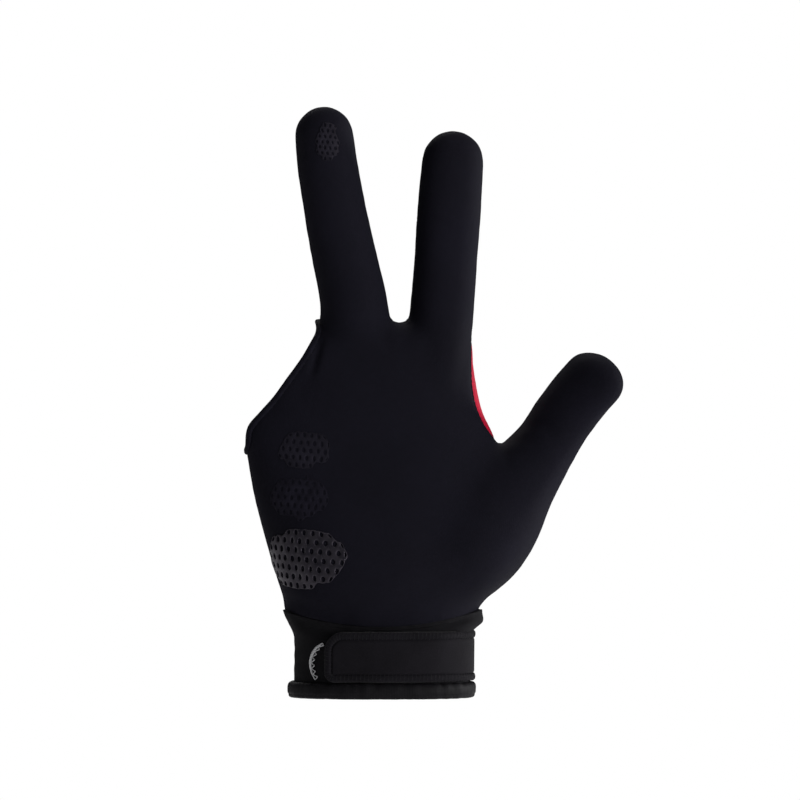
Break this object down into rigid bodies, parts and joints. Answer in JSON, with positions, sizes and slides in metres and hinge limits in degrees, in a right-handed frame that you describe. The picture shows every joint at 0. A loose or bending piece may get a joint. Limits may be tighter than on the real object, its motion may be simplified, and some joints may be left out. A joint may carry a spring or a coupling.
{
  "type": "three-finger billiard glove",
  "caption": "Open-sided stretch-cloth glove for thumb, index and middle fingers, with lattice grip pads and a wrist strap.",
  "frame": {"origin": "centre of the mouth that the wrist goes in by, in the plane of the cuff's lower edge", "axes": "+Z from the wrist to the fingertips, -Y out of the palm, +X to the thumb's side"},
  "size_m": [0.133, 0.0494, 0.2064],
  "materials": {
    "stretch_cloth": "smooth black stretch knit with a faint sheen",
    "red_cloth": "crimson stretch knit",
    "edge_elastic": "rolled black elastic with fine ribs",
    "cuff_cloth": "soft black neoprene-backed cloth",
    "strap_cloth": "matt black brushed loop cloth with a stitched edge",
    "hook_tape": "black hook tape",
    "grip_print": "satin dark grey printed silicone"
  },
  "bodies": {
    "root": {"palm_panel": "stretch_cloth", "back_panel": "stretch_cloth", "web_gusset": "red_cloth", "finger_opening_binding": "edge_elastic", "wrist_cuff": "cuff_cloth", "cuff_hem": "edge_elastic", "strap": "strap_cloth", "hook_patch": "hook_tape", "grip_pad_fingertip": "grip_print", "grip_pad_upper": "grip_print", "grip_pad_middle": "grip_print", "grip_pad_lower": "grip_print"}
  },
  "joints": []
}
